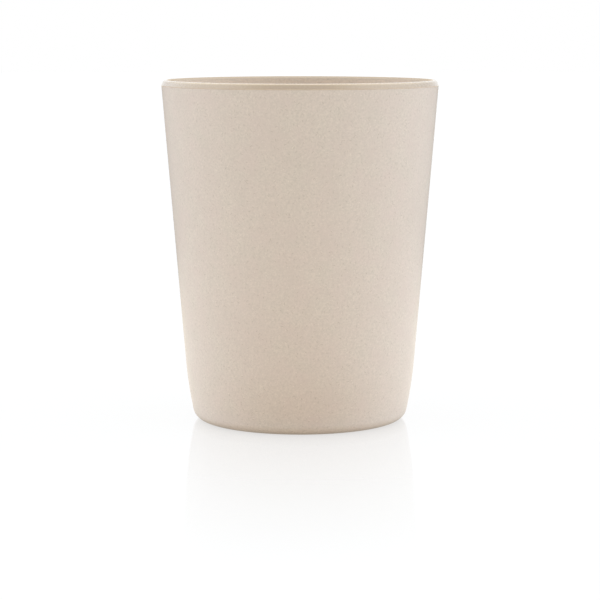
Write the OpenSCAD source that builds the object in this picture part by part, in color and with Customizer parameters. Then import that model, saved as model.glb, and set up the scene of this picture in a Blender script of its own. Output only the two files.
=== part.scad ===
// Double-walled bamboo-fibre cup: a pressed outer shell and a pressed inner cup, bonded at the lip and floor.
// Millimetres and degrees. The origin is the centre of the resting face, and +Z runs up to the mouth.

/* [Cup] */
// Height from the resting face to the crest of the lip
cup_h = 100; // [85:1:120]
// Diameter outside at the lower edge of the lip band, where the cup is widest
mouth_d = 81; // [72:1:95]
// Lean of the outer wall from upright
wall_lean = 4.7; // [2:0.1:6]

/* [Heel] */
// Height where the straight wall starts to curve in
heel_h = 18; // [12:1:35]
// How much more than the wall the heel leans, just above the corner
heel_extra_lean = 7; // [1:0.1:10]
// Radius of the corner between the heel and the foot
corner_r = 3.6; // [3.2:0.1:8]

/* [Foot] */
// Width of the ring that the cup stands on
foot_w = 3; // [2:0.1:6]
// Radius of the foot ring's inside edge
foot_edge_r = 0.5; // [0.1:0.1:0.8]
// Depth of the recess inside the foot ring
recess_depth = 1.2; // [0.9:0.1:2]
// Radius of the recess's upper corner
recess_r = 0.7; // [0.2:0.1:0.8]
// Diameter of the shallow mark that the mould's gate leaves under the floor
gate_d = 6; // [3:0.5:10]
// Depth of the gate mark
gate_depth = 0.3; // [0.1:0.05:0.5]

/* [Outer shell] */
// Thickness of the shell's wall
shell_wall = 1.6; // [1.2:0.1:2.4]
// Thickness of the shell's floor
shell_floor = 1.8; // [1.5:0.1:3]
// Radius inside the shell, between its wall and its floor
shell_corner_r = 3; // [1.5:0.1:6]

/* [Inner cup] */
// Thickness of the inner cup's wall
liner_wall = 1.6; // [1.2:0.1:2.4]
// Thickness of the inner cup's floor
liner_floor = 2; // [1.5:0.1:3]
// How much more than the outer wall the inner wall leans, which opens the air gap
liner_extra_lean = 1.3; // [0.5:0.1:3]
// Radius inside, between the inner wall and the floor
liner_corner_r = 8; // [3:0.5:14]
// Height of the air gap between the two floors
floor_gap = 2.5; // [1.5:0.1:5]

/* [Lip] */
// Height of the sloped band round the lip
lip_h = 1.5; // [1.2:0.1:4]
// How far the band slopes in over its height
lip_slope = 0.55; // [0.3:0.05:1.5]
// Height of the narrow land under the band, in line with the wall
lip_land = 0.15; // [0.05:0.05:0.5]
// Radius of the crest, between the band and the top of the lip
crest_r = 0.9; // [0.3:0.1:1.1]
// Radius of the lip's inside edge
lip_edge_r = 1; // [0.3:0.1:1.4]

/* [Joints] */
// Clearance where one moulding locates in the other
fit = 0.15; // [0.05:0.05:0.3]
// Height of the fine seam between the lip and the shell's edge, which the lip bond fills
seam = 0.06; // [0.04:0.01:0.2]
// How far the adhesive in the seam stays back from the shell's outer face
seam_inset = 0.02; // [0.01:0.01:0.4]
// Depth of the rebate in the shell's edge, which holds the lip bond
rebate_h = 0.9; // [0.5:0.1:1.5]
// Share of the shell's wall that the rebate takes
rebate_share = 0.5; // [0.3:0.05:0.6]
// Outer diameter of the centring ring under the inner cup's floor
centring_d = 18; // [12:1:30]
// Wall of the centring ring
centring_wall = 2.5; // [1.5:0.1:4]
// Wall of the socket ring on the shell's floor
socket_wall = 1.4; // [1:0.1:3]
// Share of the air gap's height that the socket ring takes
socket_share = 0.6; // [0.3:0.05:0.8]
// Thickness of the floor bond
bond_t = 0.3; // [0.1:0.05:0.6]

/* [Hidden] */

$fn = 144;
arc_steps = 14;
edge_steps = 6;
overrun = 1;

// Heights, from the foot up
shell_floor_z = recess_depth + shell_floor;
liner_base_z = shell_floor_z + floor_gap;
socket_top_z = shell_floor_z + floor_gap * socket_share;
liner_floor_z = liner_base_z + liner_floor;
band_z = cup_h - lip_h;
lip_base_z = band_z - lip_land;
shell_top_z = lip_base_z - seam;
rebate_z = shell_top_z - rebate_h;

// Shell: a straight wall, a wide sweep tangent to it, and a tight corner tangent to the sweep and to the foot
heel_lean = wall_lean + heel_extra_lean;
sweep_r = (heel_h - corner_r * (1 - sin(heel_lean))) / (sin(heel_lean) - sin(wall_lean));
sweep_c = [shell_x(heel_h, 0) - sweep_r * cos(wall_lean), heel_h + sweep_r * sin(wall_lean)];

// Radius of the shell's straight wall at height z, at a depth of inset under its outer face
function shell_x(z, inset) = mouth_d / 2 - (band_z - z) * tan(wall_lean) - inset / cos(wall_lean);

// Lean of the sweep where a corner of radius r leaves it, and that corner's centre
function corner_lean(inset, floor_z, r) = asin((sweep_c[1] - floor_z - r) / (sweep_r - inset - r));
function corner_c(inset, floor_z, r) = polar(sweep_c, sweep_r - inset - r, -corner_lean(inset, floor_z, r));

// Inner cup: its outer face clears the shell's mouth by the fit, and leans away from the shell below
liner_lean = wall_lean + liner_extra_lean;
liner_mouth_x = shell_x(shell_top_z, shell_wall) - fit;
function liner_x(z, inset) = liner_mouth_x - (shell_top_z - z) * tan(liner_lean) - inset / cos(liner_lean);

// Centre of the rounding of radius r between the inner cup's wall and a floor
function liner_corner_c(inset, floor_z, r) = [liner_x(floor_z + r, inset) - r / cos(liner_lean), floor_z + r];

// Lip: the bearing of the band's outward normal, and the centres of its two rounded edges
band_bearing = atan(lip_slope / lip_h);
crest_z = cup_h - crest_r;
crest_c = [mouth_d / 2 - (crest_z - band_z) * tan(band_bearing) - crest_r / cos(band_bearing), crest_z];
lip_edge_z = cup_h - lip_edge_r;
lip_edge_c = [liner_x(lip_edge_z, liner_wall) + lip_edge_r / cos(liner_lean), lip_edge_z];

// Rings: the rebate's wall, the foot ring's inside edge, the centring ring and its socket
rebate_x = shell_x(shell_top_z, shell_wall * (1 - rebate_share));
foot_x = corner_c(0, 0, corner_r)[0] - foot_w;
centring_x = centring_d / 2;
centring_in_x = centring_x - centring_wall;
socket_x = centring_x + fit;

// Point at a distance and a bearing from a centre
function polar(centre, r, bearing) = centre + r * [cos(bearing), sin(bearing)];

// Points along an arc, after the one at its first bearing
function arc(centre, r, from, to, steps) = [
    for (i = [1:steps])
        polar(centre, r, from + (to - from) * i / steps)
];

// Half section of a ring with square edges
module ring_section(inner, outer, low_z, high_z) {
    translate([inner, low_z])
        square([outer - inner, high_z - low_z]);
}

// Half section of the shell's outside (inset 0), or of the hollow inside it (inset shell_wall)
module shell_outline(inset, floor_z, r, top_z) {
    c = corner_c(inset, floor_z, r);
    lean = corner_lean(inset, floor_z, r);
    polygon(concat(
        [[0, floor_z], [c[0], floor_z]],
        arc(c, r, -90, -lean, arc_steps),
        arc(sweep_c, sweep_r - inset, -lean, -wall_lean, arc_steps),
        [[shell_x(top_z, inset), top_z], [0, top_z]]
    ));
}

// Half section of the hollow under the foot: rounded foot edge, recess, rounded upper corner and gate mark
module recess_outline() {
    edge_x = foot_x + foot_edge_r;
    polygon(concat(
        [[0, -overrun], [edge_x, -overrun], [edge_x, 0]],
        arc([edge_x, foot_edge_r], foot_edge_r, -90, -180, edge_steps),
        [[foot_x, recess_depth - recess_r]],
        arc([foot_x - recess_r, recess_depth - recess_r], recess_r, 0, 90, edge_steps),
        [[gate_d / 2, recess_depth], [gate_d / 2, recess_depth + gate_depth], [0, recess_depth + gate_depth]]
    ));
}

// Half section of the inner cup's outside: floor, rounding, wall, the lip's underside, land, band and crest
module liner_outline() {
    r = liner_corner_r + liner_wall;
    c = liner_corner_c(0, liner_base_z, r);
    polygon(concat(
        [[0, liner_base_z], [c[0], liner_base_z]],
        arc(c, r, -90, -liner_lean, arc_steps),
        [[liner_x(lip_base_z, 0), lip_base_z], [shell_x(lip_base_z, 0), lip_base_z], [mouth_d / 2, band_z]],
        [polar(crest_c, crest_r, band_bearing)],
        arc(crest_c, crest_r, band_bearing, 90, edge_steps),
        [[0, cup_h]]
    ));
}

// Half section of the space for the drink, up past the lip's rounded inside edge
module drink_outline() {
    c = liner_corner_c(liner_wall, liner_floor_z, liner_corner_r);
    polygon(concat(
        [[0, liner_floor_z], [c[0], liner_floor_z]],
        arc(c, liner_corner_r, -90, -liner_lean, arc_steps),
        [polar(lip_edge_c, lip_edge_r, 180 - liner_lean)],
        arc(lip_edge_c, lip_edge_r, 180 - liner_lean, 90, arc_steps),
        [[lip_edge_c[0], cup_h + overrun], [0, cup_h + overrun]]
    ));
}

// Outer wall, heel, floor and foot in one pressing, with the rebate at the mouth and the socket on the floor
module outer_shell() {
    color([0.80, 0.74, 0.67])
        rotate_extrude() {
            difference() {
                shell_outline(0, 0, corner_r, shell_top_z);
                shell_outline(shell_wall, shell_floor_z, shell_corner_r, shell_top_z + overrun);
                ring_section(0, rebate_x, rebate_z, cup_h);
                recess_outline();
            }
            ring_section(socket_x, socket_x + socket_wall, shell_floor_z - shell_floor / 2, socket_top_z);
        }
}

// The vessel itself: drinking lip, wall, rounded floor, and the centring ring underneath
module inner_cup() {
    color([0.75, 0.67, 0.58])
        rotate_extrude() {
            difference() {
                liner_outline();
                drink_outline();
            }
            ring_section(centring_in_x, centring_x, shell_floor_z + bond_t, liner_base_z + liner_floor / 2);
        }
}

// Adhesive in the shell's rebate and out through the seam, under the lip and against the inner cup's wall
module lip_bond() {
    color([0.62, 0.55, 0.46])
        rotate_extrude()
            polygon([
                [liner_x(rebate_z, 0), rebate_z],
                [rebate_x, rebate_z],
                [rebate_x, shell_top_z],
                [shell_x(shell_top_z, seam_inset), shell_top_z],
                [shell_x(lip_base_z, seam_inset), lip_base_z],
                [liner_x(lip_base_z, 0), lip_base_z]
            ]);
}

// Adhesive between the centring ring and the shell's floor
module floor_bond() {
    color([0.62, 0.55, 0.46])
        rotate_extrude()
            ring_section(centring_in_x, centring_x, shell_floor_z, shell_floor_z + bond_t);
}

outer_shell();
inner_cup();
lip_bond();
floor_bond();
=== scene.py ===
import math

import bpy
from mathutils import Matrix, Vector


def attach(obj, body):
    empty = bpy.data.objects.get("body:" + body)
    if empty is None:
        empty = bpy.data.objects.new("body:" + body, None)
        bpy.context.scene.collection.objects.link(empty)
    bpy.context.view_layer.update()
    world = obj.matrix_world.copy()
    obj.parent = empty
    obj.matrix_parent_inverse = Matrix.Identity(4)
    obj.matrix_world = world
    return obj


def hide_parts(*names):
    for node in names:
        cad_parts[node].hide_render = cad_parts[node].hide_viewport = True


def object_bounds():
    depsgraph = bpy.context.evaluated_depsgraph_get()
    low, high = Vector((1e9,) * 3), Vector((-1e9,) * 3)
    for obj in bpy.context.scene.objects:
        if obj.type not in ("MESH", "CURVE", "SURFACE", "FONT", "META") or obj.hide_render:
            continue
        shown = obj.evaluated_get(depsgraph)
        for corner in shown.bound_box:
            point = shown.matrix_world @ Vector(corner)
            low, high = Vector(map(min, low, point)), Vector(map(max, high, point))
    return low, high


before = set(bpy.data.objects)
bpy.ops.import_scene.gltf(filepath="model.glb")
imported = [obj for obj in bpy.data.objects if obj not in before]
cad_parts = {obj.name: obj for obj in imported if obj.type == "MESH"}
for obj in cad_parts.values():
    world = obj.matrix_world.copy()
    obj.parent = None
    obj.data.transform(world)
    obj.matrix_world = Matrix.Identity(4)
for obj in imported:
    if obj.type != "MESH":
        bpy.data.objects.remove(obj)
cad_low, cad_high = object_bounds()

# Outer shell
# The pressing that the hand holds: ground bamboo fibre and resin, squeezed in a heated steel mould, so that
# wall, heel, floor and foot ring are one piece. Its open edge has a rebate for the adhesive, and its floor a
# round socket.
MM = 0.001
FIT = 0.15 * MM
CENTRING_RADIUS = 9 * MM
FLOOR_GAP, SOCKET_SHARE = 2.5 * MM, 0.6
shell_sizes = {
    "cup height": cad_high.z,
    "mouth radius": cad_high.x,
    "wall lean": math.radians(4.7),
    "heel height": 18 * MM,
    "heel extra lean": math.radians(7),
    "corner": 3.6 * MM,
    "foot width": 3 * MM,
    "foot edge": 0.5 * MM,
    "recess depth": 1.2 * MM,
    "recess corner": 0.7 * MM,
    "gate radius": 3 * MM,
    "gate depth": 0.3 * MM,
    "shell wall": 1.6 * MM,
    "shell floor": 1.8 * MM,
    "inside corner": 3 * MM,
    "lip height": 1.5 * MM,
    "lip land": 0.15 * MM,
    "seam": 0.06 * MM,
    "rebate depth": 0.9 * MM,
    "rebate share": 0.5,
    "socket radius": CENTRING_RADIUS + FIT,
    "socket wall": 1.4 * MM,
    "socket height": FLOOR_GAP * SOCKET_SHARE,
    "broken edge": 0.02 * MM,
}
SHELL_BODY, SHELL_HUSK, DARK_FIBRE = (0.600, 0.520, 0.446), (0.78, 0.70, 0.60), (0.20, 0.13, 0.075)
SECTORS = 288
MERGE = 0.0001 * MM
SHARP_BEND = math.radians(31)
DOWN, UP, IN = math.radians(-90), math.radians(90), math.radians(180)


class Wire:
    """An output of a node tree. Arithmetic on wires adds Math nodes, and node() adds any other node."""

    def __init__(self, tree, socket=None):
        self.tree = tree
        self.socket = socket

    def plug(self, socket, value):
        """Gives a socket a wire, a list of wires or a plain value."""
        if isinstance(value, Wire):
            self.tree.links.new(value.socket, socket)
        elif isinstance(value, list):
            for wire in value:
                self.tree.links.new(wire.socket, socket)
        else:
            socket.default_value = value

    def node(self, kind, settings=None, values=None, output=0):
        """Adds a node: first its settings, then a value or a wire for each socket, by name or number."""
        made = self.tree.nodes.new(kind)
        for name, setting in (settings or {}).items():
            setattr(made, name, setting)
        for key, value in (values or {}).items():
            self.plug(made.inputs[key], value)
        return Wire(self.tree, made.outputs[output] if made.outputs else None)

    def out(self, name):
        """Another output of the same node."""
        return Wire(self.tree, self.socket.node.outputs[name])

    def math(self, operation, *values):
        return self.node("ShaderNodeMath", {"operation": operation}, dict(enumerate(values)))

    def vector(self, operation, *others):
        """Vector Math on this wire, as a vector, or as a number for a dot product or a length."""
        made = self.node("ShaderNodeVectorMath", {"operation": operation}, dict(enumerate((self, *others))))
        return made.out("Value") if operation in ("DOT_PRODUCT", "LENGTH") else made

    def times(self, factor):
        """This vector, scaled by a number."""
        return self.node("ShaderNodeVectorMath", {"operation": "SCALE"}, {0: self, "Scale": factor})

    def mix(self, other, factor):
        """This colour, turned into the other one as the factor goes from 0 to 1."""
        settings = {"data_type": "RGBA", "clamp_factor": True}
        return self.node("ShaderNodeMix", settings, {0: factor, 6: self, 7: other}, "Result")

    def clamped(self):
        return self.node("ShaderNodeClamp", None, {"Value": self})

    def ramp(self, start, length):
        """0 up to the start, and from there up to 1 over a length."""
        return ((self - start) / length).clamped()

    def __add__(self, other):
        return self.math("ADD", self, other)

    def __radd__(self, other):
        return self.math("ADD", other, self)

    def __sub__(self, other):
        return self.math("SUBTRACT", self, other)

    def __rsub__(self, other):
        return self.math("SUBTRACT", other, self)

    def __mul__(self, other):
        return self.math("MULTIPLY", self, other)

    def __rmul__(self, other):
        return self.math("MULTIPLY", other, self)

    def __truediv__(self, other):
        return self.math("DIVIDE", self, other)

    def __rtruediv__(self, other):
        return self.math("DIVIDE", other, self)

    def __neg__(self):
        return self.math("MULTIPLY", self, -1)

    def __abs__(self):
        return self.math("ABSOLUTE", self)

    def __pow__(self, other):
        return self.math("POWER", self, other)


def sin(value):
    return value.math("SINE", value) if isinstance(value, Wire) else math.sin(value)


def cos(value):
    return value.math("COSINE", value) if isinstance(value, Wire) else math.cos(value)


def tan(value):
    return value.math("TANGENT", value)


def asin(value):
    return value.math("ARCSINE", value)


def new_tree(name, sizes):
    """A geometry tree with a named input for each size and a mesh as its output, and its inputs as wires."""
    tree = bpy.data.node_groups.new(name, "GeometryNodeTree")
    for size, value in sizes.items():
        socket = tree.interface.new_socket(size, in_out="INPUT", socket_type="NodeSocketFloat")
        socket.default_value = value
    tree.interface.new_socket("mesh", in_out="OUTPUT", socket_type="NodeSocketGeometry")
    start = Wire(tree).node("NodeGroupInput")
    return tree, {size: start.out(size) for size in sizes}


def turned_strip(name, sizes, point):
    """A node group that turns a run of a half section about Z. point gives a radius and a height on it."""
    tree, size = new_tree(name, {**sizes, "steps": 1, "sectors": SECTORS})
    grid = Wire(tree).node("GeometryNodeMeshGrid", None, {
        "Size X": 1, "Size Y": 1, "Vertices X": size["sectors"] + 1, "Vertices Y": size["steps"] + 1})
    spot = grid.node("ShaderNodeSeparateXYZ", None, {0: grid.node("GeometryNodeInputPosition")})
    turn = (spot.out("X") + 0.5) * math.tau
    radius, height = point(size, spot.out("Y") + 0.5)
    place = grid.node("ShaderNodeCombineXYZ", None, {
        0: radius * cos(turn), 1: radius * sin(turn), 2: height})
    strip = grid.node("GeometryNodeSetPosition", None, {"Geometry": grid, "Position": place})
    strip.node("NodeGroupOutput", None, {0: strip})
    return tree


def along_line(size, share):
    """Even steps where crowd is 0. Where it is 1 they crowd at both ends, which keeps the shading flat."""
    crowded = (1 - cos(share * math.pi)) * 0.5
    share = share + size["crowd"] * (crowded - share)
    radius = size["radius 1"] + (size["radius 2"] - size["radius 1"]) * share
    height = size["height 1"] + (size["height 2"] - size["height 1"]) * share
    return radius, height


def along_arc(size, share):
    bearing = size["bearing 1"] + (size["bearing 2"] - size["bearing 1"]) * share
    radius = size["centre radius"] + size["arc radius"] * cos(bearing)
    height = size["centre height"] + size["arc radius"] * sin(bearing)
    return radius, height


line_strip = turned_strip("turned line", {
    "radius 1": 0, "height 1": 0, "radius 2": 1, "height 2": 1, "crowd": 0}, along_line)
arc_strip = turned_strip("turned arc", {
    "centre radius": 0, "centre height": 0, "arc radius": 1, "bearing 1": 0, "bearing 2": 1}, along_arc)


class Outline:
    """A half section, drawn out along the underside, up and back in, so that its faces point outwards."""

    def __init__(self, tree, radius, height):
        self.wire = Wire(tree)
        self.at = (radius, height)
        self.strips = []

    def strip(self, group, values):
        made = self.wire.node("GeometryNodeGroup", {"node_tree": group}, values)
        self.strips.append(made)

    def line(self, radius, height, steps=1, crowd=0):
        """A straight run to a point."""
        self.strip(line_strip, {
            "radius 1": self.at[0], "height 1": self.at[1], "radius 2": radius, "height 2": height,
            "crowd": crowd, "steps": steps})
        self.at = (radius, height)

    def arc(self, centre, radius, start, end, steps):
        """An arc between two bearings of its outward normal. A hollow arc has a negative radius."""
        self.strip(arc_strip, {
            "centre radius": centre[0], "centre height": centre[1], "arc radius": radius,
            "bearing 1": start, "bearing 2": end, "steps": steps})
        self.at = (centre[0] + radius * cos(end), centre[1] + radius * sin(end))

    def corner(self, radius, height, rounding, start, end, steps=4, run_steps=1, crowd=0):
        """A straight run, then a rounded corner from one face's outward bearing to the next one's."""
        share = rounding / (1 + cos(end - start))
        centre = (radius - share * (cos(start) + cos(end)), height - share * (sin(start) + sin(end)))
        self.line(centre[0] + rounding * cos(start), centre[1] + rounding * sin(start), run_steps, crowd)
        self.arc(centre, rounding, start, end, steps)

    def solid(self, material):
        """All the strips as one closed mesh, smooth but for its sharp edges, in its material."""
        joined = self.wire.node("GeometryNodeJoinGeometry", None, {0: self.strips})
        merged = joined.node("GeometryNodeMergeByDistance", None, {"Geometry": joined, "Distance": MERGE})
        smooth = merged.node("GeometryNodeSetShadeSmooth", None, {"Geometry": merged, "Shade Smooth": True})
        bend = merged.node("GeometryNodeInputMeshEdgeAngle", None, None, "Unsigned Angle")
        sharp = merged.node("FunctionNodeCompare", {"operation": "GREATER_THAN"}, {0: bend, 1: SHARP_BEND})
        creased = smooth.node("GeometryNodeSetShadeSmooth", {"domain": "EDGE"}, {
            "Geometry": smooth, "Selection": sharp, "Shade Smooth": False})
        real = creased.node("GeometryNodeRealizeInstances", None, {"Geometry": creased})
        dressed = real.node("GeometryNodeSetMaterial", None, {"Geometry": real, "Material": material})
        dressed.node("NodeGroupOutput", None, {0: dressed})


def set_piece(name, tree, sizes):
    """Runs a tree with its sizes and leaves its result as a plain mesh on an object at the origin."""
    piece = bpy.data.objects.new(name, bpy.data.meshes.new(name))
    bpy.context.scene.collection.objects.link(piece)
    maker = piece.modifiers.new("maker", "NODES")
    maker.node_group = tree
    for socket in tree.interface.items_tree:
        if socket.in_out == "INPUT":
            maker[socket.identifier] = float(sizes[socket.name])
    bpy.context.view_layer.update()
    evaluated = piece.evaluated_get(bpy.context.evaluated_depsgraph_get())
    mesh = bpy.data.meshes.new_from_object(evaluated)
    piece.modifiers.remove(maker)
    piece.data = mesh
    return piece


def shell_radius(size, height, inset):
    """Radius of the straight wall at a height, at a depth of inset under its outer face."""
    drop = size["cup height"] - size["lip height"] - height
    return size["mouth radius"] - drop * tan(size["wall lean"]) - inset / cos(size["wall lean"])


GRAIN_SIZE, GRAIN_LOW, GRAIN_SPAN = 0.55 * MM, 0.25, 0.5
GRAIN_DARK, GRAIN_PALE = 0.88, 1.115
CLOUD_SIZE, CLOUD_LOW, CLOUD_SHARE, CLOUD_SHADE = 6 * MM, 0.45, 1.5, 0.94
ROSY_TINT, ROSY_LOW, ROSY_SPAN, ROSY_SHARE = (1.03, 0.96, 1), 0.3, 0.5, 0.5
LONG_FIBRES = {"cell": 1.25 * MM, "half_length": 0.46 * MM, "half_width": 0.085 * MM, "depth": 0.30 * MM,
               "shift": (0, 0, 0)}
SHORT_FIBRES = {"cell": 0.72 * MM, "half_length": 0.20 * MM, "half_width": 0.075 * MM, "depth": 0.16 * MM,
                "shift": (0.3, 0.1, 0.2)}
HUSKS = {"cell": 0.95 * MM, "half_length": 0.26 * MM, "half_width": 0.11 * MM, "depth": 0.20 * MM,
         "shift": (0.7, 0.4, 0.5)}
LONG_SHARE, SHORT_SHARE, HUSK_SHARE = 0.37, 0.14, 0.45
FLECK_EDGE = 2.5
DULLNESS, GRAIN_DULLNESS = 0.70, 0.14
RELIEF_STRENGTH, RELIEF_DEPTH, FLECK_RELIEF = 0.25, 0.03 * MM, 0.5
COMPOSITE_IOR, GLAZE_ROUGHNESS = 1.4, 0.12


def flecks(place, facing, cell, half_length, half_width, depth, shift):
    """Mask of short fibres that lie in the surface, each at its own angle, one in each cell of a scatter."""
    moved = place.vector("ADD", shift)
    cells = place.node("ShaderNodeTexVoronoi", {"voronoi_dimensions": "3D", "feature": "F1"}, {
        "Vector": moved, "Scale": 1 / cell, "Randomness": 1}, "Position")
    seed = cells.out("Color")
    apart = moved.vector("SUBTRACT", cells)
    sunk = apart.vector("DOT_PRODUCT", facing)
    flat = apart.vector("SUBTRACT", facing.times(sunk))
    aim = seed.vector("SUBTRACT", (0.5, 0.5, 0.5))
    aim = aim.vector("SUBTRACT", facing.times(aim.vector("DOT_PRODUCT", facing))).vector("NORMALIZE")
    along = flat.vector("DOT_PRODUCT", aim) / half_length
    across = flat.vector("CROSS_PRODUCT", aim).vector("LENGTH") / half_width
    inside = (1 - (along ** 2 + across ** 2) ** 0.5) * FLECK_EDGE
    nearness = 1 - abs(sunk) / depth
    return inside.clamped() * nearness.clamped()


def shade(colour, *factors):
    """A colour made lighter or darker by one factor, or by one for each channel, with its alpha."""
    factors = factors * 3 if len(factors) == 1 else factors
    return (*(channel * factor for channel, factor in zip(colour, factors)), 1)


def composite(name, body, husk, finish):
    """Pressed bamboo-fibre composite: tinted resin, grain, dark fibres, pale husks and a finished zone, which
    on the inner cup also holds painted shade and a painted highlight.
    """
    material = bpy.data.materials.new(name)
    material.use_nodes = True
    tree = material.node_tree
    tree.nodes.clear()
    place = Wire(tree).node("ShaderNodeTexCoord", None, None, "Object")
    facing = place.node("ShaderNodeNewGeometry", None, None, "Normal")
    cloud = place.node("ShaderNodeTexNoise", None, {"Vector": place, "Scale": 1 / CLOUD_SIZE, "Detail": 2})
    grain = place.node("ShaderNodeTexNoise", None, {
        "Vector": place, "Scale": 1 / GRAIN_SIZE, "Detail": 3, "Roughness": 0.6})
    green = cloud.out("Color").vector("DOT_PRODUCT", (0, 1, 0))
    long_fibres = flecks(place, facing, **LONG_FIBRES)
    short_fibres = flecks(place, facing, **SHORT_FIBRES)
    husks = flecks(place, facing, **HUSKS)
    colour = place.node("ShaderNodeMix", {"data_type": "RGBA"}, {
        0: grain.ramp(GRAIN_LOW, GRAIN_SPAN), 6: shade(body, GRAIN_DARK), 7: shade(body, GRAIN_PALE)
    }, "Result")
    colour = colour.mix(shade(body, CLOUD_SHADE), (cloud - CLOUD_LOW).clamped() * CLOUD_SHARE)
    colour = colour.mix(shade(body, *ROSY_TINT), green.ramp(ROSY_LOW, ROSY_SPAN) * ROSY_SHARE)
    colour = colour.mix((*husk, 1), husks * HUSK_SHARE)
    colour = colour.mix((*DARK_FIBRE, 1), short_fibres * SHORT_SHARE)
    colour = colour.mix((*DARK_FIBRE, 1), long_fibres * LONG_SHARE)
    colour, roughness, glaze = finish(place, grain, colour, DULLNESS + grain * GRAIN_DULLNESS)
    relief = place.node("ShaderNodeBump", None, {
        "Strength": RELIEF_STRENGTH, "Distance": RELIEF_DEPTH,
        "Height": grain + (long_fibres - husks) * FLECK_RELIEF}, "Normal")
    surface = place.node("ShaderNodeBsdfPrincipled", None, {
        "Base Color": colour, "Roughness": roughness, "Normal": relief, "IOR": COMPOSITE_IOR,
        "Coat Weight": glaze, "Coat Roughness": GLAZE_ROUGHNESS})
    surface.node("ShaderNodeOutputMaterial", None, {"Surface": surface})
    return material


RUBBED, RUBBED_HEIGHT, RUBBED_LOW, RUBBED_SPAN = (0.70, 0.62, 0.53, 1), 0.35 * MM, 0.25, 0.5
RUBBED_SHARE, RUBBED_DULLNESS, SHELL_GLAZE = 0.35, 0.12, 0.5


def foot_finish(place, grain, colour, roughness):
    """The resting face is dull and pale where it has rubbed on tables. All of the shell has a thin glaze."""
    height = place.node("ShaderNodeSeparateXYZ", None, {0: place}).out("Z")
    rubbed = (1 - height.ramp(0, RUBBED_HEIGHT)) * grain.ramp(RUBBED_LOW, RUBBED_SPAN)
    return colour.mix(RUBBED, rubbed * RUBBED_SHARE), roughness + rubbed * RUBBED_DULLNESS, SHELL_GLAZE


shell_composite = composite("shell composite", SHELL_BODY, SHELL_HUSK, foot_finish)

tree, size = new_tree("outer shell", shell_sizes)
lean = size["wall lean"]
corner = size["corner"]
shell_top = size["cup height"] - size["lip height"] - size["lip land"] - size["seam"]
floor_top = size["recess depth"] + size["shell floor"]
heel_lean = lean + size["heel extra lean"]
sweep = (size["heel height"] - corner * (1 - sin(heel_lean))) / (sin(heel_lean) - sin(lean))
sweep_centre = (
    shell_radius(size, size["heel height"], 0) - sweep * cos(lean), size["heel height"] + sweep * sin(lean))


def corner_fit(inset, floor, radius):
    """Centre of a corner that touches the sweep and a floor, and the bearing where the sweep takes over."""
    bearing = -asin((sweep_centre[1] - floor - radius) / (sweep - inset - radius))
    reach = sweep - inset - radius
    return (sweep_centre[0] + reach * cos(bearing), sweep_centre[1] + reach * sin(bearing)), bearing


out_corner, out_bearing = corner_fit(0, 0, corner)
in_corner, in_bearing = corner_fit(size["shell wall"], floor_top, size["inside corner"])
edge = size["broken edge"]
foot = out_corner[0] - size["foot width"]
rebate = shell_radius(size, shell_top, size["shell wall"] * (1 - size["rebate share"]))
rebate_floor = shell_top - size["rebate depth"]
socket_out = size["socket radius"] + size["socket wall"]
socket_top = floor_top + size["socket height"]

half = Outline(tree, 0, size["recess depth"] + size["gate depth"])
half.corner(size["gate radius"], size["recess depth"] + size["gate depth"], -edge, DOWN, -IN, run_steps=2)
half.corner(size["gate radius"], size["recess depth"], edge, -IN, DOWN)
half.corner(foot, size["recess depth"], -size["recess corner"], DOWN, -IN, steps=12, run_steps=12, crowd=1)
half.corner(foot, 0, size["foot edge"], -IN, DOWN, steps=12)
half.line(out_corner[0], 0, steps=4)
half.arc(out_corner, corner, DOWN, out_bearing, steps=28)
half.arc(sweep_centre, sweep, out_bearing, -lean, steps=24)
half.corner(shell_radius(size, shell_top, 0), shell_top, edge, -lean, UP, steps=6, run_steps=64, crowd=1)
half.corner(rebate, shell_top, edge, UP, IN)
half.corner(rebate, rebate_floor, -edge, IN, UP)
half.corner(shell_radius(size, rebate_floor, size["shell wall"]), rebate_floor, edge, UP, IN - lean)
half.line(sweep_centre[0] + (sweep - size["shell wall"]) * cos(lean),
          sweep_centre[1] - (sweep - size["shell wall"]) * sin(lean), steps=48, crowd=1)
half.arc(sweep_centre, size["shell wall"] - sweep, IN - lean, IN + in_bearing, steps=20)
half.arc(in_corner, -size["inside corner"], IN + in_bearing, UP, steps=16)
half.corner(socket_out, floor_top, -edge, UP, 0, run_steps=6)
half.corner(socket_out, socket_top, edge, 0, UP)
half.corner(size["socket radius"], socket_top, edge, UP, IN)
half.corner(size["socket radius"], floor_top, -edge, IN, UP)
half.line(0, floor_top, steps=4)
half.solid(shell_composite)

outer_shell = set_piece("outer_shell_pressing", tree, shell_sizes)
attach(outer_shell, "root")
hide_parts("outer_shell")

# Floor bond
# A ring of food-safe adhesive on the shell's floor, squeezed out by the inner cup's centring ring. Its edges
# sink to a meniscus as it cures. It holds the inner cup down and central.
floor_bond_sizes = {
    "ring radius": CENTRING_RADIUS,
    "ring wall": 2.5 * MM,
    "floor": shell_sizes["recess depth"] + shell_sizes["shell floor"],
    "thickness": 0.3 * MM,
    "hollow": 0.05 * MM,
}
ADHESIVE_DARK, ADHESIVE_PALE = (0.30, 0.225, 0.15, 1), (0.38, 0.295, 0.21, 1)
BUBBLE = (0.20, 0.145, 0.095, 1)
DRIFT_SIZE, BUBBLE_SPACING, BUBBLE_EDGE, BUBBLE_SHARE = 2.5 * MM, 0.6 * MM, 3.5, 0.5
SATIN, DRIFT_DULLNESS = 0.24, 0.14
BUBBLE_STRENGTH, BUBBLE_DEPTH = 0.3, 0.04 * MM


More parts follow.
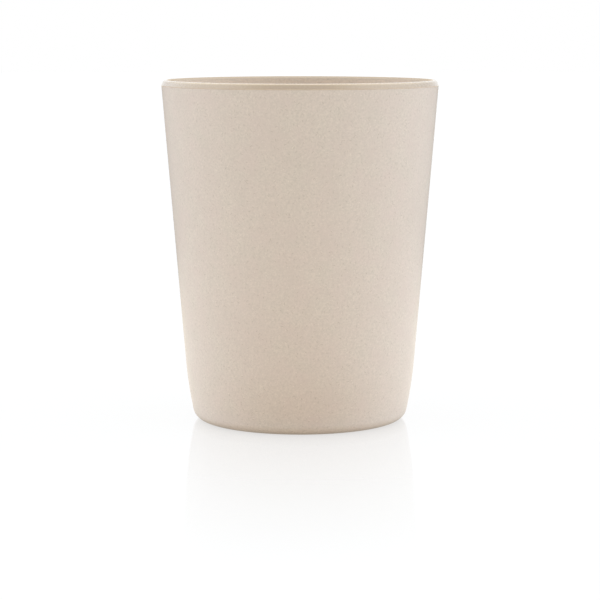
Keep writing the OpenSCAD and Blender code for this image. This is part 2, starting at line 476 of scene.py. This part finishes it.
def adhesive_material():
    """Cured tan adhesive, satin, with a few bubbles and a slow drift of tone."""
    material = bpy.data.materials.new("adhesive")
    material.use_nodes = True
    material.node_tree.nodes.clear()
    place = Wire(material.node_tree).node("ShaderNodeTexCoord", None, None, "Object")
    drift = place.node("ShaderNodeTexNoise", None, {"Vector": place, "Scale": 1 / DRIFT_SIZE, "Detail": 2})
    apart = place.node("ShaderNodeTexVoronoi", None, {
        "Vector": place, "Scale": 1 / BUBBLE_SPACING}, "Distance")
    pit = (1 - apart * BUBBLE_EDGE).clamped()
    tone = place.node("ShaderNodeMix", {"data_type": "RGBA"}, {
        0: drift, 6: ADHESIVE_DARK, 7: ADHESIVE_PALE}, "Result")
    colour = tone.mix(BUBBLE, pit * BUBBLE_SHARE)
    relief = place.node("ShaderNodeBump", None, {
        "Strength": BUBBLE_STRENGTH, "Distance": BUBBLE_DEPTH, "Height": drift - pit}, "Normal")
    surface = place.node("ShaderNodeBsdfPrincipled", None, {
        "Base Color": colour, "Roughness": SATIN + drift * DRIFT_DULLNESS, "Normal": relief})
    surface.node("ShaderNodeOutputMaterial", None, {"Surface": surface})
    return material


adhesive = adhesive_material()
tree, size = new_tree("floor bond", floor_bond_sizes)
ring_in = size["ring radius"] - size["ring wall"]
bond_top = size["floor"] + size["thickness"]
bond_middle = size["floor"] + size["thickness"] * 0.5
half = Outline(tree, ring_in, size["floor"])
half.line(size["ring radius"], size["floor"], steps=4)
half.line(size["ring radius"] - size["hollow"], bond_middle, steps=3)
half.line(size["ring radius"], bond_top, steps=3)
half.line(ring_in, bond_top, steps=4)
half.line(ring_in + size["hollow"], bond_middle, steps=3)
half.line(ring_in, size["floor"], steps=3)
half.solid(adhesive)

floor_bond = set_piece("floor_bond_ring", tree, floor_bond_sizes)
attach(floor_bond, "root")
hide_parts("floor_bond")

# Lip bond
# The ring of adhesive that fills the rebate in the shell's edge and the fine seam above it. It joins the two
# pressings and keeps water out of the air gap.
SHARED = ("cup height", "mouth radius", "wall lean", "shell wall", "lip height", "lip land", "seam")
shared_sizes = {**{name: shell_sizes[name] for name in SHARED}, "extra lean": math.radians(1.3), "fit": FIT}
lip_bond_sizes = {
    **shared_sizes,
    "seam inset": 0.02 * MM,
    "rebate depth": shell_sizes["rebate depth"],
    "rebate share": shell_sizes["rebate share"],
}

tree, size = new_tree("lip bond", lip_bond_sizes)
lean = size["wall lean"]
lip_base = size["cup height"] - size["lip height"] - size["lip land"]
shell_top = lip_base - size["seam"]
rebate_floor = shell_top - size["rebate depth"]
rebate = shell_radius(size, shell_top, size["shell wall"] * (1 - size["rebate share"]))
liner_mouth = shell_radius(size, shell_top, size["shell wall"]) - size["fit"]
slope = tan(lean + size["extra lean"])
inner_top = liner_mouth + (lip_base - shell_top) * slope
inner_foot = liner_mouth - (shell_top - rebate_floor) * slope

half = Outline(tree, inner_foot, rebate_floor)
half.line(rebate, rebate_floor, steps=3)
half.line(rebate, shell_top, steps=4)
half.line(shell_radius(size, shell_top, size["seam inset"]), shell_top, steps=3)
half.line(shell_radius(size, lip_base, size["seam inset"]), lip_base)
half.line(inner_top, lip_base, steps=6)
half.line(inner_foot, rebate_floor, steps=4)
half.solid(adhesive)

lip_bond = set_piece("lip_bond_ring", tree, lip_bond_sizes)
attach(lip_bond, "root")
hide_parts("lip_bond")

# Inner cup
# The vessel itself, pressed from the same composite with a little more resin. Its lip has a sloped band that
# caps the shell's edge, its wall leans in more than the shell's, and a ring under its floor centres it in the
# shell's socket.
liner_sizes = {
    **shared_sizes,
    "liner wall": 1.6 * MM,
    "liner floor": 2 * MM,
    "floor height": floor_bond_sizes["floor"] + FLOOR_GAP,
    "inside corner": 8 * MM,
    "lip slope": 0.55 * MM,
    "crest": 0.9 * MM,
    "lip inside edge": 1 * MM,
    "land edge": 0.02 * MM,
    "band edge": 0.12 * MM,
    "ring radius": CENTRING_RADIUS,
    "ring wall": floor_bond_sizes["ring wall"],
    "ring foot": floor_bond_sizes["floor"] + floor_bond_sizes["thickness"],
    "broken edge": 0.1 * MM,
}
# The last colour is the ground lip's browner tone, deepened as painted shade; it also paints shade on the
# lip's inner edge.
LINER_BODY, LINER_HUSK, GROUND_AND_SHADE = (0.650, 0.525, 0.402), (0.76, 0.67, 0.56), (0.355, 0.268, 0.190, 1)
FINISH_EDGE, BAND_OVERLAP, POLISH_WIDTH = 0.05 * MM, 0.04 * MM, 1.6 * MM
CREST_DROP, CREST_RISE, CREST_HIGHLIGHT_PALING = 0.27 * MM, 0.07 * MM, 0.48
# The INSIDE and UPPER sizes place painted shade on the lip's inner top edge.
INSIDE_WIDTH, INSIDE_FADE, INSIDE_DROP, INSIDE_RISE = 2.1 * MM, 1.1 * MM, 0.95 * MM, 0.35 * MM
UPPER_DROP, UPPER_RISE = 0.4 * MM, 0.25 * MM
INSIDE_SHADE_SHARE, UPPER_SHADE_SHARE, GROUND_AND_SHADE_SHARE, GROUND_AND_SHADE_GRAIN = 0.55, 0.35, 0.72, 0.3
LIP_POLISH = 0.5


def lip_finish_and_shade(place, grain, colour, roughness):
    """The lip's band is browner, partly as the ground face where the mould's flash was and partly as painted
    shade. Painted shade also darkens its inner top edge, and a painted highlight keeps its crest paler. The
    band and crest are glossy.
    """
    height = place.node("ShaderNodeSeparateXYZ", None, {0: place}).out("Z")
    out = place.vector("MULTIPLY", (1, 1, 0)).vector("LENGTH")
    over_foot = height.ramp(cad_high.z - liner_sizes["lip height"] - BAND_OVERLAP, FINISH_EDGE)
    polish = over_foot * out.ramp(cad_high.x - POLISH_WIDTH, FINISH_EDGE)
    # Painted highlight: the crest takes less of the browner tone, so it stays paler than the band.
    crest = height.ramp(cad_high.z - CREST_DROP, CREST_RISE)
    # Painted shade: the lip's inner top edge takes the browner tone, more of it at the very top.
    within = 1 - out.ramp(cad_high.x - INSIDE_WIDTH, INSIDE_FADE)
    inside = within * height.ramp(cad_high.z - INSIDE_DROP, INSIDE_RISE)
    upper_shade = height.ramp(cad_high.z - UPPER_DROP, UPPER_RISE)
    ground_and_shade = polish * (1 - crest * CREST_HIGHLIGHT_PALING) + inside * (INSIDE_SHADE_SHARE + upper_shade * UPPER_SHADE_SHARE)
    colour = colour.mix(GROUND_AND_SHADE, ground_and_shade * (GROUND_AND_SHADE_SHARE + grain * GROUND_AND_SHADE_GRAIN))
    return colour, roughness - polish * LIP_POLISH, polish


liner_composite = composite("liner composite", LINER_BODY, LINER_HUSK, lip_finish_and_shade)

tree, size = new_tree("inner cup", liner_sizes)
lean = size["wall lean"]
steep = lean + size["extra lean"]
top = size["cup height"]
band_foot = top - size["lip height"]
lip_base = band_foot - size["lip land"]
shell_top = lip_base - size["seam"]
liner_mouth = shell_radius(size, shell_top, size["shell wall"]) - size["fit"]


def liner_radius(height, inset):
    """Radius of the inner cup's straight wall at a height, at a depth of inset under its outer face."""
    return liner_mouth - (shell_top - height) * tan(steep) - inset / cos(steep)


def wall_corner(inset, floor, radius):
    """Centre of the rounding between the inner cup's wall and a floor."""
    return (liner_radius(floor + radius, inset) - radius / cos(steep), floor + radius)


bearing = size["lip slope"].math("ARCTAN2", size["lip slope"], size["lip height"])
crest_height = top - size["crest"]
crest_in = (crest_height - band_foot) * tan(bearing) + size["crest"] / cos(bearing)
crest_centre = (size["mouth radius"] - crest_in, crest_height)
edge_height = top - size["lip inside edge"]
edge_centre = (
    liner_radius(edge_height, size["liner wall"]) + size["lip inside edge"] / cos(steep), edge_height)
out_radius = size["inside corner"] + size["liner wall"]
out_corner = wall_corner(0, size["floor height"], out_radius)
floor_top = size["floor height"] + size["liner floor"]
in_corner = wall_corner(size["liner wall"], floor_top, size["inside corner"])
ring_in = size["ring radius"] - size["ring wall"]
edge = size["broken edge"]

half = Outline(tree, 0, size["floor height"])
half.corner(ring_in, size["floor height"], -edge, DOWN, -IN, run_steps=3)
half.corner(ring_in, size["ring foot"], edge, -IN, DOWN)
half.corner(size["ring radius"], size["ring foot"], edge, DOWN, 0)
half.corner(size["ring radius"], size["floor height"], -edge, 0, DOWN)
half.line(out_corner[0], size["floor height"], steps=8, crowd=1)
half.arc(out_corner, out_radius, DOWN, -steep, steps=24)
half.corner(liner_radius(lip_base, 0), lip_base, -edge, -steep, DOWN, run_steps=64, crowd=1)
half.corner(shell_radius(size, lip_base, 0), lip_base, size["land edge"], DOWN, -lean, steps=3, run_steps=3)
half.corner(size["mouth radius"], band_foot, size["band edge"], -lean, bearing, steps=6)
half.line(crest_centre[0] + size["crest"] * cos(bearing),
          crest_height + size["crest"] * sin(bearing), steps=8, crowd=1)
half.arc(crest_centre, size["crest"], bearing, UP, steps=16)
half.line(edge_centre[0], top, steps=6, crowd=1)
half.arc(edge_centre, size["lip inside edge"], UP, IN - steep, steps=20)
half.line(in_corner[0] + size["inside corner"] * cos(steep),
          in_corner[1] - size["inside corner"] * sin(steep), steps=64, crowd=1)
half.arc(in_corner, -size["inside corner"], IN - steep, UP, steps=28)
half.line(0, floor_top, steps=12)
half.solid(liner_composite)

inner_cup = set_piece("inner_cup_pressing", tree, liner_sizes)
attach(inner_cup, "root")
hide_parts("inner_cup")

# Tabletop and light
# A white acrylic sheet, lit from within, that mirrors the foot faintly. Its glow lights the cup from below.
# Painted shadow dims the glow close to and under the foot, and painted warm shade dims and warms it in front
# of the foot. In reflections it goes dark far away, which draws the cup's thin grey edge. The room is a few
# broad levels of light.
FLOOR_SIZE = 8
TABLE_HEIGHT = -0.02 * MM
TABLE_GLOW, FRONT_WARM_SHADE = (1.20, 1.11, 0.94, 1), (0.84, 0.55, 0.24, 1)
WHITE, PAPER = (1, 1, 1, 1), (0.72, 0.72, 0.72, 1)
FRONT_START, FRONT_RISE, FRONT_END, FRONT_FADE = 28 * MM, 14 * MM, 44 * MM, 150 * MM
NEAR_START, NEAR_FADE, NEAR_SHADOW_DIMMING = 30 * MM, 14 * MM, 0.36
UNDER_START, UNDER_FADE, UNDER_SHADOW_DIMMING = 28 * MM, 5 * MM, 0.3
FAR_START, FAR_FADE, FAR_DIMMING = 150 * MM, 250 * MM, 0.85
MIRROR_START, MIRROR_FADE, MIRROR_STRENGTH, MIRROR_BLUR = 31 * MM, 165 * MM, 0.28, 0.05
GLOW_SHARE = 0.9
SIDE_LIGHT, TOP_LIGHT = (0.93, 1.22, 1.71), (1.59, 1.61, 1.30)
SHOULDER_LIGHT, KEY_LIGHT = (6.3, 6.8, 7.9), (1.92, 2.36, 3.04)
GLINT_TINT = (1.03, 0.89, 0.71)
REAR_LEFT, REAR_RIGHT = 3.3, 0.9


def tabletop_material():
    """The sheet, by distance from the cup's axis. Its glow lights the cup but looks white. The glow carries
    painted shadow near the foot and painted warm shade in front of it.
    """
    material = bpy.data.materials.new("white acrylic")
    material.use_nodes = True
    material.node_tree.nodes.clear()
    place = Wire(material.node_tree).node("ShaderNodeTexCoord", None, None, "Object")
    away = place.vector("LENGTH")
    seen = place.node("ShaderNodeLightPath", None, None, "Is Camera Ray")
    ahead = (-place.node("ShaderNodeSeparateXYZ", None, {0: place}).out("Y") / away).clamped()
    # Painted warm shade: in front of the foot the glow is dimmer and warmer, which darkens and browns the
    # cup's lower wall.
    front_shade = away.ramp(FRONT_START, FRONT_RISE) * (1 - away.ramp(FRONT_END, FRONT_FADE)) * ahead * ahead
    tone = place.node("ShaderNodeMix", {"data_type": "RGBA"}, {
        0: front_shade, 6: TABLE_GLOW, 7: FRONT_WARM_SHADE}, "Result")
    # Painted shadow: the glow dims close to the foot and under its rounded corner, where the cup would shade
    # the sheet.
    near_shadow = (1 - away.ramp(NEAR_START, NEAR_FADE)) * NEAR_SHADOW_DIMMING
    under_shadow = (1 - away.ramp(UNDER_START, UNDER_FADE)) * UNDER_SHADOW_DIMMING
    far = away.ramp(FAR_START, FAR_FADE) * seen.out("Is Glossy Ray") * FAR_DIMMING
    tone = tone.times((1 - near_shadow - under_shadow) * (1 - far))
    paper = place.node("ShaderNodeBsdfDiffuse", None, {"Color": PAPER})
    glow = place.node("ShaderNodeEmission", None, {"Color": tone.mix(WHITE, seen)})
    lit = paper.node("ShaderNodeMixShader", None, {0: GLOW_SHARE, 1: paper, 2: glow})
    gloss = place.node("ShaderNodeBsdfGlossy", None, {"Color": WHITE, "Roughness": MIRROR_BLUR})
    mirror = (MIRROR_STRENGTH * (1 - (away - MIRROR_START) / MIRROR_FADE)).clamped()
    sheet = lit.node("ShaderNodeMixShader", None, {0: mirror, 1: lit, 2: gloss})
    clear = place.node("ShaderNodeBsdfTransparent")
    below = place.node("ShaderNodeNewGeometry", None, None, "Backfacing")
    both = sheet.node("ShaderNodeMixShader", None, {0: below, 1: sheet, 2: clear})
    both.node("ShaderNodeOutputMaterial", None, {"Surface": both})
    return material


table = bpy.data.meshes.new("tabletop")
reach = FLOOR_SIZE / 2
table_corners = [(x * reach, y * reach, TABLE_HEIGHT) for x, y in ((-1, -1), (1, -1), (1, 1), (-1, 1))]
table.from_pydata(table_corners, [], [(0, 1, 2, 3)])
table.materials.append(tabletop_material())
tabletop = bpy.data.objects.new("tabletop", table)
bpy.context.scene.collection.objects.link(tabletop)

world = bpy.data.worlds.new("studio")
world.use_nodes = True
world.node_tree.nodes.clear()
bpy.context.scene.world = world
look = Wire(world.node_tree).node("ShaderNodeTexCoord", None, None, "Generated")
across, ahead, above = (look.node("ShaderNodeSeparateXYZ", None, {0: look}).out(axis) for axis in "XYZ")
key = across.clamped() * (-ahead).clamped()
shares = (
    (SIDE_LIGHT, across * across), (TOP_LIGHT, above * above),
    (SHOULDER_LIGHT, across * across * above * above), (KEY_LIGHT, key * key))
level = look.node("ShaderNodeCombineXYZ", None, {0: 0, 1: 0, 2: 0})
for tint, share in shares:
    level = level.vector("ADD", look.node("ShaderNodeCombineXYZ", None, dict(enumerate(tint))).times(share))
rear_left, rear_right = (-across).clamped() * ahead.clamped(), across.clamped() * ahead.clamped()
rear = rear_left * rear_left * REAR_LEFT + rear_right * rear_right * REAR_RIGHT
# Glossy faces see the room less blue and never below white, and two soft lights behind the cup
glint = level.vector("MULTIPLY", GLINT_TINT).vector("ADD", rear).vector("MAXIMUM", WHITE[:3])
path = look.node("ShaderNodeLightPath", None, None, "Is Camera Ray")
seen = path.math("MAXIMUM", path, path.out("Is Transmission Ray"))
studio = level.mix(glint, path.out("Is Glossy Ray")).mix(WHITE, seen)
room = look.node("ShaderNodeBackground", None, {"Color": studio, "Strength": 1})
room.node("ShaderNodeOutputWorld", None, {"Surface": room})

# Camera
# The photograph's own viewpoint: a long lens, a little higher than the lip and tipped down a few degrees.
CAMERA_DISTANCE, CAMERA_HEIGHT = 646 * MM, 118.4 * MM
CAMERA_PITCH = math.radians(7.351)
FOCAL_LENGTH, SENSOR_WIDTH = 131.94, 36
lens = bpy.data.cameras.new("camera")
lens.lens, lens.sensor_width = FOCAL_LENGTH, SENSOR_WIDTH
lens.clip_start, lens.clip_end = 0.01, 20
camera = bpy.data.objects.new("camera", lens)
bpy.context.scene.collection.objects.link(camera)
camera.location = (0, -CAMERA_DISTANCE, CAMERA_HEIGHT)
camera.rotation_euler = (math.pi / 2 - CAMERA_PITCH, 0, 0)
bpy.context.scene.camera = camera
bpy.context.scene.view_settings.view_transform = "Standard"
